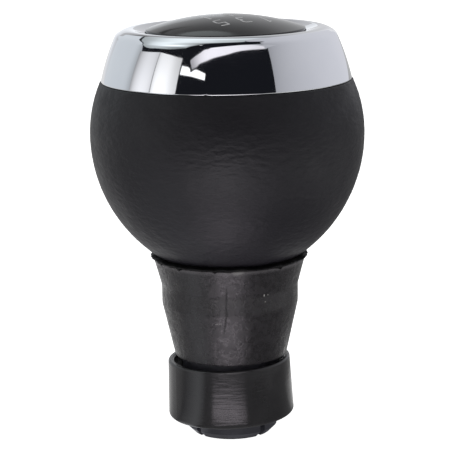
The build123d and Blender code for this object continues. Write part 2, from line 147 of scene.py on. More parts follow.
# Uneven surfaces, each as the size of its features round the bulb and up it, and the noise's seed. Below
# them are their heights and depths, and the range of the noise over which creases and frays set in.
CREASES = (1.9, 0.8, 7.7)
CREASE_PATCHES = (16, 11, 3.1)
SWELLS = (9, 9, 1.3)
RUBBER_WAVES = (6, 5, 5.5)
RUBBER_RIPPLES = (1.6, 2.4, 8.1)
LIP_WAVES = (5.5, 1, 4.2)
LIP_FRAYS = (2.6, 1, 9.4)
GLUE_LUMPS = (2.2, 1, 6.6)
GLUE_FINE_LUMPS = (0.9, 1, 2.8)
GLUE_WAVES = (4, 1, 1.9)
CREASE_DEPTH = 0.046
CREASE_LEAST = 0.4
CREASE_ONSET = (-0.1, 0.45)
SWELL_HEIGHT = 0.02
RUBBER_WAVE_HEIGHT = 0.05
RUBBER_RIPPLE_HEIGHT = 0.02
LIP_WAVE_DEPTH = 0.08
LIP_FRAY_DEPTH = 0.08
LIP_FRAY_ONSET = (0.15, 0.5)

# The nick in the ring's lower edge
NICK_TURN = -9.0
NICK_WIDTH = 1.8
NICK_DEPTH = 0.16

# The split down the sleeve's front, as heights above its foot and turns
SPLIT_PATH = [
    (5.9, -7.6), (6.8, -6.6), (8.7, -4.5), (10.9, -3.0), (11.9, -3.5), (15.0, -2.7), (16.1, -3.6),
    (17, -4.2)]
SPLIT_WIDTH = 0.1
SPLIT_DEPTH = 0.08
SPLIT_FADE = 1.0

# Tears in the sleeve's lip, as turn, width in degrees and depth, and how far down the face they draw it
LIP_TEARS = [(-63, 3.0, 0.35), (-41, 4.0, 0.4), (-11, 1.7, 0.3), (41, 3.0, 0.4)]
TEAR_REACH = 1.5

# Pale specks, a short scratch and a painted highlight at the lip's front, as turn, height, radius and how
# pale each is. Each is full to a share of its radius and gone at another. The lip is worn grey a short way
# down, and painted lighter there as an edge highlight.
SLEEVE_SPECKS_AND_HIGHLIGHT = [
    (28.9, 29.4, 0.13, 0.5), (28.9, 29.2, 0.12, 0.5), (30.0, 28.05, 0.12, 0.5), (32.5, 29.34, 0.1, 0.5),
    (-12.3, 24.1, 0.06, 0.5), (-11.1, 24.15, 0.07, 0.5), (-9.9, 24.2, 0.07, 0.5), (-8.7, 24.22, 0.07, 0.5),
    (-7.5, 24.25, 0.06, 0.5), (6.0, LIP_Z + 0.5, 1.5, 0.14)]
SPECK_AND_HIGHLIGHT_FULL = 0.5
SPECK_AND_HIGHLIGHT_GONE = 1.2
LIP_WEAR_AND_HIGHLIGHT_REACH = 1.0

# An edge that turns by more than this stays crisp
CRISP_ANGLE = 45.0


def linear(hex_colour):
    """Turn an sRGB hex colour into the linear values that a shader takes."""
    channels = [int(hex_colour[i:i + 2], 16) / 255 for i in (1, 3, 5)]
    return [c / 12.92 if c <= 0.04045 else ((c + 0.055) / 1.055) ** 2.4 for c in channels] + [1.0]


def smooth_step(low, high, value):
    """Rise smoothly from 0 at low to 1 at high."""
    share = min(1.0, max(0.0, (value - low) / (high - low)))
    return share * share * (3 - 2 * share)


def from_front(angle):
    """Angle round from the side that the photograph shows, positive to its right."""
    return (angle - FRONT + pi) % (2 * pi) - pi


def evenly(steps):
    """Angles all the way round, evenly spaced."""
    return [2 * pi * step / steps for step in range(steps)]


def around(angle, height, across, up, seed):
    """Noise about the axis, with features of these sizes across, at the bulb's widest circle, and up."""
    turn = BULB_RADIUS / across
    return noise.noise(Vector((turn * cos(angle) + seed, turn * sin(angle) - seed, height / up + seed)))


def foot_radius(height):
    """Radius of the leather below its widest circle."""
    return sqrt(FOOT_ARC ** 2 - (BULB_MID_Z - height) ** 2) - FOOT_FULLNESS


def foot_height(radius):
    """Height at which the leather below its widest circle has this radius."""
    return BULB_MID_Z - sqrt(FOOT_ARC ** 2 - (radius + FOOT_FULLNESS) ** 2)


def sleeve_radius(height):
    """Radius of the sleeve's face at this height."""
    if height < BAND_Z:
        share = (height - SLEEVE_FOOT_Z) / (BAND_Z - SLEEVE_FOOT_Z)
        return SLEEVE_FOOT_RADIUS + (BAND_RADIUS - SLEEVE_FOOT_RADIUS) * share
    share = max(0.0, (height - FLARE_Z) / (LIP_Z - FLARE_Z))
    return BAND_RADIUS + (LIP_RADIUS - BAND_RADIUS) * share


def bulb_arc(arc, fullness, low, high, spacing):
    """Points along one arc of the bulb, between two slopes of its face."""
    steps = max(2, ceil(arc * abs(high - low) / spacing))
    slopes = [low + (high - low) * step / steps for step in range(steps + 1)]
    return [(arc * cos(slope) - fullness, BULB_MID_Z + arc * sin(slope)) for slope in slopes]


def arc_points(centre, radius, start, end, steps):
    """Points on an arc from one angle to another."""
    angles = [start + (end - start) * step / steps for step in range(steps + 1)]
    return [centre + radius * Vector((cos(angle), sin(angle))) for angle in angles]


def circle_through(start, middle, end):
    """Centre and radius of the circle through three points."""
    (ax, ay), (bx, by) = middle - start, end - start
    cross = 2 * (ax * by - ay * bx)
    a_square, b_square = ax * ax + ay * ay, bx * bx + by * by
    to_centre = Vector((by * a_square - ay * b_square, ax * b_square - bx * a_square)) / cross
    return start + to_centre, to_centre.length


def sharp(points):
    """Corners without a blend, for rounded."""
    no_blend = 0
    return [(radius, height, no_blend) for radius, height in points]


def rounded(corners, facet=5.0):
    """A closed outline through (radius, height, blend) corners, with an arc of that blend at each, in steps
    of one facet."""
    outline = []
    for index, (radius, height, blend) in enumerate(corners):
        here = Vector((radius, height))
        if not blend:
            outline.append(here)
            continue
        back = (Vector(corners[index - 1][:2]) - here).normalized()
        ahead = (Vector(corners[(index + 1) % len(corners)][:2]) - here).normalized()
        half = back.angle(ahead) / 2
        centre = here + (back + ahead).normalized() * blend / sin(half)
        spoke = here + back * blend / tan(half) - centre
        turn = (pi - 2 * half) * (1 if ahead.cross(back) > 0 else -1)
        steps = max(3, ceil(abs(turn) / radians(facet)))
        for step in range(steps + 1):
            outline.append(centre + Matrix.Rotation(turn * step / steps, 2) @ spoke)
    return outline


def divided(outline, spacing):
    """The same closed outline with its long runs divided."""
    finer = []
    for start, end in zip(outline, outline[1:] + outline[:1]):
        steps = max(1, ceil((end - start).length / spacing))
        finer += [start.lerp(end, step / steps) for step in range(steps)]
    return finer


def turned_shape(outline_at, angles):
    """Turn an outline, which may change on its way round, into a closed skin."""
    shape = bmesh.new()
    rings = []
    for angle in angles:
        rings.append([shape.verts.new((radius * cos(angle) * MM, radius * sin(angle) * MM, height * MM))
                      for radius, height in outline_at(angle)])
    for ring, after in zip(rings, rings[1:] + rings[:1]):
        for i in range(len(ring)):
            shape.faces.new((ring[i - 1], after[i - 1], after[i], ring[i]))
    return shape


def finished_piece(shape, name, node, finish):
    """Make a finished piece of a shape. It stands for a node and rides on the knob."""
    bmesh.ops.recalc_face_normals(shape, faces=shape.faces)
    mesh = bpy.data.meshes.new(name)
    shape.to_mesh(mesh)
    shape.free()
    mesh.shade_smooth()
    mesh.set_sharp_from_angle(angle=radians(CRISP_ANGLE))
    mesh.materials.append(finish)
    piece = bpy.data.objects.new(name, mesh)
    bpy.context.scene.collection.objects.link(piece)
    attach(piece, "knob")
    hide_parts(node)


def find_socket(sockets, name):
    """A node's socket by its name, or by its identifier where the name repeats."""
    return next(socket for socket in sockets if name in (socket.identifier, socket.name))


def set_inputs(tree, node, inputs):
    """Give a node's inputs their values, or link them where a (node, output) pair is given."""
    for name, value in inputs.items():
        target = find_socket(node.inputs, name)
        if isinstance(value, tuple):
            source, output = value
            tree.links.new(find_socket(source.outputs, output), target)
        else:
            target.default_value = value


def add_node(tree, kind, inputs, **settings):
    """Add a node with its settings, its values and its links."""
    node = tree.nodes.new(kind)
    for name, value in settings.items():
        setattr(node, name, value)
    set_inputs(tree, node, inputs)
    return node


def new_material(name, values):
    """A material whose plain values sit on its shader's own sockets."""
    material = bpy.data.materials.new(name)
    material.use_nodes = True
    tree = material.node_tree
    shader = tree.nodes["Principled BSDF"]
    set_inputs(tree, shader, values)
    place = tree.nodes.new("ShaderNodeTexCoord")
    return material, tree, shader, place


def per_mm(size):
    """Texture scale for features of this size in millimetres."""
    return 1 / (size * MM)


def mottled(tree, shade_pattern, shades, gloss_pattern, gloss, span=(0.3, 0.7)):
    """Shader inputs for a tone between two shades and a gloss between two roughnesses, each by a pattern.
    span is the part of the gloss pattern's range that its change runs over."""
    tone = add_node(tree, "ShaderNodeMix", {
        "Factor_Float": (shade_pattern, "Fac"), "A_Color": linear(shades[0]), "B_Color": linear(shades[1])},
        data_type="RGBA")
    roughness = add_node(tree, "ShaderNodeMapRange", {
        "Value": (gloss_pattern, "Fac"), "From Min": span[0], "From Max": span[1],
        "To Min": gloss[0], "To Max": gloss[1]})
    return {"Base Color": (tone, "Result_Color"), "Roughness": (roughness, "Result")}


def satin_leather():
    """Full-grain hide, drum dyed black under a satin coat: a soft, wide shine over pores and creases."""
    material, tree, shader, place = new_material("drum_dyed_full_grain_leather", {
        "IOR": 1.5, "Specular IOR Level": 0.32})
    dye = add_node(tree, "ShaderNodeTexNoise", {
        "Vector": (place, "Object"), "Scale": per_mm(9), "Detail": 4.0})
    wear = add_node(tree, "ShaderNodeTexNoise", {
        "Vector": (place, "Object"), "Scale": per_mm(5), "Detail": 5.0})
    # Creases run further round the bulb than up it
    flat = add_node(tree, "ShaderNodeVectorMath", {
        "Vector": (place, "Object"), "Vector_001": [1.0, 1.0, 2.2]}, operation="MULTIPLY")
    creases = add_node(tree, "ShaderNodeTexNoise", {
        "Vector": (flat, "Vector"), "Scale": per_mm(1.8), "Detail": 3.0})
    crease_bump = add_node(tree, "ShaderNodeBump", {
        "Height": (creases, "Fac"), "Distance": 0.2 * MM, "Strength": 0.8})
    # Pores are drawn a little coarser than the real ones, so that they show
    pores = add_node(tree, "ShaderNodeTexVoronoi", {
        "Vector": (place, "Object"), "Scale": per_mm(0.55)}, feature="SMOOTH_F1")
    pore_bump = add_node(tree, "ShaderNodeBump", {
        "Height": (pores, "Distance"), "Distance": 0.03 * MM, "Strength": 0.6,
        "Normal": (crease_bump, "Normal")})
    finish = mottled(tree, dye, ["#131216", "#18171b"], wear, [0.44, 0.56])
    set_inputs(tree, shader, finish | {"Normal": (pore_bump, "Normal")})
    return material


def plated_chrome():
    """ABS electroplated with bright chrome: a cool mirror with a faint haze left by wiping."""
    material, tree, shader, place = new_material("bright_chrome_plated_abs", {"Metallic": 1.0})
    haze = add_node(tree, "ShaderNodeTexNoise", {
        "Vector": (place, "Object"), "Scale": per_mm(7), "Detail": 5.0})
    set_inputs(tree, shader, mottled(tree, haze, ["#e4e6eb", "#eeeff2"], haze, [0.02, 0.05]))
    return material


def lacquered_cap():
    """Black ABS, moulded and clear lacquered: a deep gloss with a few soft wipe marks."""
    material, tree, shader, place = new_material("clear_lacquered_black_abs", {"IOR": 1.53})
    wipe = add_node(tree, "ShaderNodeTexNoise", {
        "Vector": (place, "Object"), "Scale": per_mm(4), "Detail": 5.0})
    set_inputs(tree, shader, mottled(tree, wipe, ["#09090a", "#121214"], wipe, [0.05, 0.12]))
    return material


def pale_lettering():
    """Pale grey ABS, the second shot of the cap's moulding: fine strokes, worn duller in places."""
    material, tree, shader, place = new_material("two_shot_pale_abs", {"IOR": 1.53})
    rub = add_node(tree, "ShaderNodeTexNoise", {
        "Vector": (place, "Object"), "Scale": per_mm(2.2), "Detail": 3.0})
    set_inputs(tree, shader, mottled(tree, rub, ["#f4f4f5", "#b9babd"], rub, [0.2, 0.4]))
    return material


def handled_rubber():
    """Black rubber, compression moulded and handled: a dull skin with grey bloom, shiny worn spots and a
    worn grey lip that is painted lighter as an edge highlight.
    """
    material, tree, shader, place = new_material("compression_moulded_rubber", {"IOR": 1.52})
    bloom = add_node(tree, "ShaderNodeTexNoise", {
        "Vector": (place, "Object"), "Scale": per_mm(3.5), "Detail": 7.0, "Roughness": 0.62})
    skin = add_node(tree, "ShaderNodeTexNoise", {
        "Vector": (place, "Object"), "Scale": per_mm(1.1), "Detail": 6.0, "Roughness": 0.65})
    skin_bump = add_node(tree, "ShaderNodeBump", {
        "Height": (skin, "Fac"), "Distance": 0.18 * MM, "Strength": 0.8})
    finish = mottled(tree, bloom, ["#141214", "#201e21"], skin, [0.14, 0.46], span=(0.35, 0.65))
    level = add_node(tree, "ShaderNodeSeparateXYZ", {"Vector": (place, "Object")})
    # The top of the lip, all round, is worn grey and painted lighter as an edge highlight
    lip_wear_and_highlight = add_node(tree, "ShaderNodeMapRange", {
        "Value": (level, "Z"), "From Min": (LIP_Z - LIP_WEAR_AND_HIGHLIGHT_REACH) * MM, "From Max": LIP_Z * MM,
        "To Min": 0.0, "To Max": 0.6})
    tone = add_node(tree, "ShaderNodeMix", {
        "Factor_Float": (lip_wear_and_highlight, "Result"), "A_Color": finish["Base Color"], "B_Color": linear("#5a575a")},
        data_type="RGBA")
    # Pale specks and a scratch; the last spot is a painted highlight on the lip's front
    for turn, height, size, pale in SLEEVE_SPECKS_AND_HIGHLIGHT:
        angle = FRONT + radians(turn)
        radius = sleeve_radius(height)
        spot = [radius * cos(angle) * MM, radius * sin(angle) * MM, height * MM]
        off = add_node(tree, "ShaderNodeVectorMath", {
            "Vector": (place, "Object"), "Vector_001": spot}, operation="DISTANCE")
        speck_and_highlight = add_node(tree, "ShaderNodeMapRange", {
            "Value": (off, "Value"), "From Min": SPECK_AND_HIGHLIGHT_FULL * size * MM, "From Max": SPECK_AND_HIGHLIGHT_GONE * size * MM,
            "To Min": pale, "To Max": 0.0})
        tone = add_node(tree, "ShaderNodeMix", {
            "Factor_Float": (speck_and_highlight, "Result"), "A_Color": (tone, "Result_Color"),
            "B_Color": linear("#d8d6d2")}, data_type="RGBA")
    set_inputs(tree, shader, finish | {
        "Base Color": (tone, "Result_Color"), "Normal": (skin_bump, "Normal")})
    return material


def set_glue():
    """Black contact glue, squeezed out and set: a dark uneven bead with small bright highlights."""
    material, tree, shader, place = new_material("set_black_contact_glue", {
        "IOR": 1.5, "Specular IOR Level": 0.25})
    lumps = add_node(tree, "ShaderNodeTexNoise", {
        "Vector": (place, "Object"), "Scale": per_mm(0.8), "Detail": 3.0})
    set_inputs(tree, shader, mottled(tree, lumps, ["#020202", "#070707"], lumps, [0.5, 0.7]))
    return material


def moulded_collar():
    """Black polypropylene, injection moulded: a waxy satin with fine rings from the turned mould."""
    material, tree, shader, place = new_material("injection_moulded_polypropylene", {"IOR": 1.49})
    cloud = add_node(tree, "ShaderNodeTexNoise", {
        "Vector": (place, "Object"), "Scale": per_mm(4), "Detail": 5.0})
    # The rings run on round the collar. They are drawn a few times coarser than the real ones, so that
    # they show.
    flat = add_node(tree, "ShaderNodeVectorMath", {
        "Vector": (place, "Object"), "Vector_001": [0.12, 0.12, 1.0]}, operation="MULTIPLY")
    rings = add_node(tree, "ShaderNodeTexNoise", {
        "Vector": (flat, "Vector"), "Scale": per_mm(0.45), "Detail": 3.0})
    ring_bump = add_node(tree, "ShaderNodeBump", {
        "Height": (rings, "Fac"), "Distance": 0.05 * MM, "Strength": 0.6})
    finish = mottled(tree, cloud, ["#1b1a1c", "#252426"], cloud, [0.14, 0.25])
    set_inputs(tree, shader, finish | {"Normal": (ring_bump, "Normal")})
    return material


def moulded_nylon():
    """Dark grey nylon with glass fibre, injection moulded: a dull face with a faint cloudy flow."""
    material, tree, shader, place = new_material("injection_moulded_glass_nylon", {"IOR": 1.53})
    flow = add_node(tree, "ShaderNodeTexNoise", {
        "Vector": (place, "Object"), "Scale": per_mm(2.5), "Detail": 6.0})
    set_inputs(tree, shader, mottled(tree, flow, ["#222228", "#303038"], flow, [0.32, 0.5]))
    return material


def drawn_wire():
    """Spring steel, drawn to wire: a grey metal shine, duller where the drawing oil has dried."""
    material, tree, shader, place = new_material("drawn_spring_steel", {"Metallic": 1.0})
    oil = add_node(tree, "ShaderNodeTexNoise", {
        "Vector": (place, "Object"), "Scale": per_mm(0.9), "Detail": 4.0})
    set_inputs(tree, shader, mottled(tree, oil, ["#7b7a78", "#a09e9b"], oil, [0.25, 0.45]))
    return material


def finish_solids():
    """Give the solids that stay in view their materials."""
    nylon = moulded_nylon()
    finishes = {
        "pattern_cap": lacquered_cap(), "gate_inlay": pale_lettering(),
        "gaiter_collar": moulded_collar(), "lever_collet": nylon, "knob_core": nylon,
        "collet_spring": drawn_wire()}
    for node, finish in finishes.items():
        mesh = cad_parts[node].data
        mesh.materials.clear()
        mesh.materials.append(finish)


def leather_relief(angle, height):
    """How far the leather's face stands out at this angle and height, below 0 in a crease."""
    patch = smooth_step(*CREASE_ONSET, around(angle, height, *CREASE_PATCHES))
    crease = 1 - 2 * abs(around(angle, height, *CREASES))
    depth = CREASE_DEPTH * (CREASE_LEAST + (1 - CREASE_LEAST) * patch)
    return SWELL_HEIGHT * around(angle, height, *SWELLS) - depth * crease


def make_leather_skin():
    """Leather drawn over the bulb: its grain swells and creases a little between the two hems."""
    face_spacing, back_spacing, steps = 0.24, 2.0, 400
    edge_room = 0.4
    hem_slope = -acos((HEM_RADIUS + FOOT_FULLNESS) / FOOT_ARC)
    seat_slope = asin((SEAT_Z - BULB_MID_Z) / TOP_ARC)
    face = bulb_arc(FOOT_ARC, FOOT_FULLNESS, hem_slope, 0, face_spacing)
    face += bulb_arc(TOP_ARC, TOP_FULLNESS, 0, seat_slope - edge_room / TOP_ARC, face_spacing)[1:]
    back_top, back_foot = TOP_ARC - LEATHER, FOOT_ARC - LEATHER
    back_seat = asin((SEAT_Z - LEATHER - BULB_MID_Z) / back_top)
    back_hem = -acos((HEM_BORE + FOOT_FULLNESS) / back_foot)
    back = bulb_arc(back_top, TOP_FULLNESS, back_seat, 0, back_spacing)
    back += bulb_arc(back_foot, FOOT_FULLNESS, 0, back_hem, back_spacing)[1:]
    upper_hem = [(UPPER_HEM_RADIUS, SEAT_Z), (UPPER_HEM_RADIUS, SEAT_Z - LEATHER)]
    outline = rounded(sharp([(HEM_RADIUS, HEM_Z)] + face) + [(SEAT_RADIUS, SEAT_Z, LEATHER_EDGE)]
                      + sharp(upper_hem + back + [(HEM_BORE, HEM_Z)]))

    def section(angle):
        points = []
        for index, (radius, height) in enumerate(outline):
            depth = 0.0
            if 0 < index <= len(face) and height > LIP_Z:
                depth = leather_relief(angle, height)
            slope = asin(max(-1, min(1, (height - BULB_MID_Z) / FOOT_ARC)))
            points.append((radius + depth * cos(slope), height + depth * sin(slope)))
        return points

    shape = turned_shape(section, evenly(steps))
    finished_piece(shape, "leather_skin", "leather_cover", satin_leather())


def ring_face():
    """The ring's outer face from its foot to its land: the barrelled side and the blend at the shoulder."""
    side_steps, blend_steps = 40, 28
    base = Vector((RING_RADIUS, SEAT_Z))
    shoulder = Vector((SHOULDER_RADIUS, SHOULDER_Z))
    centre, radius = circle_through(base, (base + shoulder) / 2 + Vector((RING_BARREL, 0)), shoulder)
    land = (Vector((CREST_RADIUS, CREST_Z)) - shoulder).normalized()
    inward = Vector((-land.y, land.x))
    # The blend's hub lies its own radius in from the land and from the side
    start = shoulder + inward * SHOULDER_BLEND - centre
    half = start.dot(land)
    reach = -half - sqrt(half * half - start.length_squared + (radius - SHOULDER_BLEND) ** 2)
    hub = start + land * reach
    foot = base - centre
    meet = atan2(hub.y, hub.x)
    side = arc_points(centre, radius, atan2(foot.y, foot.x), meet, side_steps)
    blend = arc_points(centre + hub, SHOULDER_BLEND, meet, atan2(-inward.y, -inward.x), blend_steps)
    return [point for point in side if (point - base).length > 2 * RING_EDGE] + blend[1:]


def add_hook(shape, angle):
    """Add one snap hook below the ring's flange, with a barb on its outer face."""
    barb_top = HOOK_FOOT_Z + HOOK_BARB_HEIGHT
    outline = [
        (HOOK_INNER, HOOK_FOOT_Z), (HOOK_OUTER, HOOK_FOOT_Z), (HOOK_OUTER + HOOK_BARB, barb_top),
        (HOOK_OUTER, barb_top), (HOOK_OUTER, FLANGE_Z), (HOOK_INNER, FLANGE_Z)]
    out = Vector((cos(angle), sin(angle), 0))
    across = Vector((-sin(angle), cos(angle), 0)) * HOOK_WIDTH / 2
    sides = [[shape.verts.new((out * radius + across * hand + Vector((0, 0, height))) * MM)
              for radius, height in outline] for hand in (-1, 1)]
    shape.faces.new(sides[0])
    shape.faces.new(sides[1])
    for i in range(len(outline)):
        shape.faces.new((sides[0][i - 1], sides[0][i], sides[1][i], sides[1][i - 1]))


def edge_nick(angle):
    """How far the ring's lower edge is nicked at this angle."""
    off = (from_front(angle) - radians(NICK_TURN)) / radians(NICK_WIDTH / 2)
    return NICK_DEPTH * exp(-off ** 4)


def make_chrome_ring():
    """The plated ring, turned finely so that its mirror runs smooth, with the hooks below its flange."""
    facet, spacing, steps = 1.5, 0.3, 360
    recess_wall = RING_BORE + RING_WALL
    hollow_top = SHOULDER_Z - RING_WALL
    inside = [
        (RING_BORE, FLANGE_Z + FLANGE), (FLANGE_BORE, FLANGE_Z + FLANGE), (FLANGE_BORE, FLANGE_Z),
        (recess_wall, FLANGE_Z), (recess_wall, hollow_top), (SHOULDER_RADIUS - RING_WALL, hollow_top),
        (RING_RADIUS - RING_WALL, SEAT_Z)]
    corners = [(RING_RADIUS, SEAT_Z, RING_EDGE)] + sharp(ring_face())
    corners += [(CREST_RADIUS, CREST_Z, CREST_BLEND)] + sharp([(RING_BORE, LAND_Z)] + inside)
    outline = rounded(corners, facet)
    face_end = len(outline) - len(inside)
    outline = divided(outline[:face_end], spacing)[:-1] + outline[face_end:]

    def section(angle):
        nick = edge_nick(angle)
        points = []
        for radius, height in outline:
            share = 0.0
            if radius > RING_RADIUS - RING_WALL / 2:
                share = 1 - smooth_step(0, 2 * RING_EDGE, height - SEAT_Z)
            points.append((radius, height + nick * share))
        return points

    shape = turned_shape(section, evenly(steps))
    for angle in evenly(HOOK_COUNT):
        add_hook(shape, angle)
    finished_piece(shape, "chrome_ring", "trim_ring", plated_chrome())


def lip_nick(angle):
    """How far the sleeve's torn lip falls short of its moulded edge at this angle."""
    wave = 0.5 + 0.5 * around(angle, 0, *LIP_WAVES)
    fray = smooth_step(*LIP_FRAY_ONSET, around(angle, 0, *LIP_FRAYS))
    nick = LIP_WAVE_DEPTH * wave + LIP_FRAY_DEPTH * fray
    for turn, width, depth in LIP_TEARS:
        off = (from_front(angle) - radians(turn)) / radians(width / 2)
        nick += depth * exp(-off ** 2)
    return nick


def lip_share(radius):
    """Share of a nick that reaches this radius of the lip, none at its bore."""
    return smooth_step(LIP_BORE, LIP_EDGE_RADIUS, radius)


def split_depth(turn, height):
    """How deep the split down the sleeve's front is at this turn, as an angle, and this height."""
    rise = height - SLEEVE_FOOT_Z
    for (low, low_turn), (high, high_turn) in zip(SPLIT_PATH, SPLIT_PATH[1:]):
        if low <= rise <= high:
            path = radians(low_turn + (high_turn - low_turn) * (rise - low) / (high - low))
            off = (turn - path) * BAND_RADIUS / SPLIT_WIDTH
            ends = smooth_step(SPLIT_PATH[0][0], SPLIT_PATH[1][0] + SPLIT_FADE, rise)
            ends *= 1 - smooth_step(SPLIT_PATH[-2][0] - SPLIT_FADE, SPLIT_PATH[-1][0], rise)
            return SPLIT_DEPTH * ends * exp(-off ** 2)
    return 0.0


def make_rubber_sleeve():
    """Waisted rubber sleeve: a torn lip, a shallow split down its front and a hand-worn, wavy face."""
    spacing = 0.26
    hem_radius = HEM_RADIUS + SEAT_GAP
    corners = [
        (SLEEVE_BORE, SLEEVE_FOOT_Z, 0), (SLEEVE_FOOT_RADIUS, SLEEVE_FOOT_Z, SLEEVE_EDGE),
        (BAND_RADIUS, BAND_Z, BAND_BLEND), (BAND_RADIUS, FLARE_Z, BAND_BLEND),
        (LIP_RADIUS, LIP_Z, SLEEVE_EDGE)]
    inside = [
        (LIP_BORE, LIP_Z), (hem_radius, foot_height(hem_radius)), (hem_radius, HEM_Z), (HEM_BORE, HEM_Z),
        (HEM_BORE, BAND_Z), (NECK_END_RADIUS + SEAT_GAP, NECK_END_Z), (SLEEVE_BORE, NECK_END_Z)]
    outline = rounded(corners + sharp(inside))
    face_end = len(outline) - len(inside)
    face = divided(outline[:face_end + 1], spacing)[:-1]
    outline = face + outline[face_end:]
    # The face is fine where the split is, and its edges at the foot and the lip stay free of waves
    split_left, split_right, split_steps = -9, -1, 40
    split = [split_left + (split_right - split_left) * step / split_steps for step in range(split_steps)]
    turns = split + list(range(split_right, split_left + 360))
    foot_points, lip_points = 3, 6

    def section(angle):
        turn = from_front(angle)
        points = []
        for index, (radius, height) in enumerate(outline):
            drop = 0.0
            inset = 0.0
            if height > LIP_Z - TEAR_REACH and radius >= LIP_BORE:
                drop = lip_nick(angle) * lip_share(radius) * smooth_step(LIP_Z - TEAR_REACH, LIP_Z, height)
            if foot_points < index < len(face) - lip_points:
                wave = RUBBER_WAVE_HEIGHT * around(angle, height, *RUBBER_WAVES)
                ripple = RUBBER_RIPPLE_HEIGHT * around(angle, height, *RUBBER_RIPPLES)
                inset = split_depth(turn, height) - wave - ripple
            points.append((radius - inset, height - drop))
        return points

    shape = turned_shape(section, [FRONT + radians(turn) for turn in turns])
    finished_piece(shape, "rubber_sleeve", "neck_sleeve", handled_rubber())


def make_glue_line():
    """Glue squeezed out between the torn lip and the leather, in uneven lumps."""
    foot_steps, face_steps, back_steps, steps = 4, 7, 5, 480
    foot = [LIP_BORE + (LIP_EDGE_RADIUS - LIP_BORE) * step / foot_steps for step in range(foot_steps + 1)]

    def section(angle):
        nick = lip_nick(angle)
        lump = around(angle, 0, *GLUE_LUMPS) + BEAD_FINE_SHARE * around(angle, 0, *GLUE_FINE_LUMPS)
        top_z = LIP_Z + BEAD_HEIGHT * (BEAD_REACH + BEAD_REACH_WAVE * around(angle, 0, *GLUE_WAVES))
        points = [(radius, LIP_Z - nick * lip_share(radius) + BEAD_GAP) for radius in foot]
        start = Vector(points[-1])
        end = Vector((foot_radius(top_z) + SEAT_GAP, top_z))
        bulge = Vector((LIP_RADIUS + BEAD_BULGE + BEAD_LUMP * lump, (start.y + end.y) / 2))
        control = 2 * bulge - (start + end) / 2
        for step in range(1, face_steps + 1):
            share = step / face_steps
            points.append(start.lerp(control, share).lerp(control.lerp(end, share), share))
        for step in range(1, back_steps):
            height = top_z + (LIP_Z - top_z) * step / back_steps
            points.append((foot_radius(height) + SEAT_GAP, height))
        return points

    shape = turned_shape(section, evenly(steps))
    finished_piece(shape, "glue_line", "glue_bead", set_glue())


def place_camera():
    """Put the camera where the photograph was taken from."""
    data = bpy.data.cameras.new("photo_camera")
    data.lens = VIEW_LENS
    data.sensor_width = VIEW_SENSOR
    data.clip_start = VIEW_NEAREST * MM
    camera = bpy.data.objects.new("photo_camera", data)
    bpy.context.scene.collection.objects.link(camera)
    tilt = Euler((radians(90 - VIEW_PITCH), 0, radians(VIEW_HEADING))).to_matrix()
    camera.location = (TO_CAMERA * VIEW_DISTANCE + TO_RIGHT * VIEW_SIDE + Vector((0, 0, VIEW_HEIGHT))) * MM
    camera.rotation_euler = (tilt @ Matrix.Rotation(radians(VIEW_ROLL), 3, "Z")).to_euler()
    bpy.context.scene.camera = camera


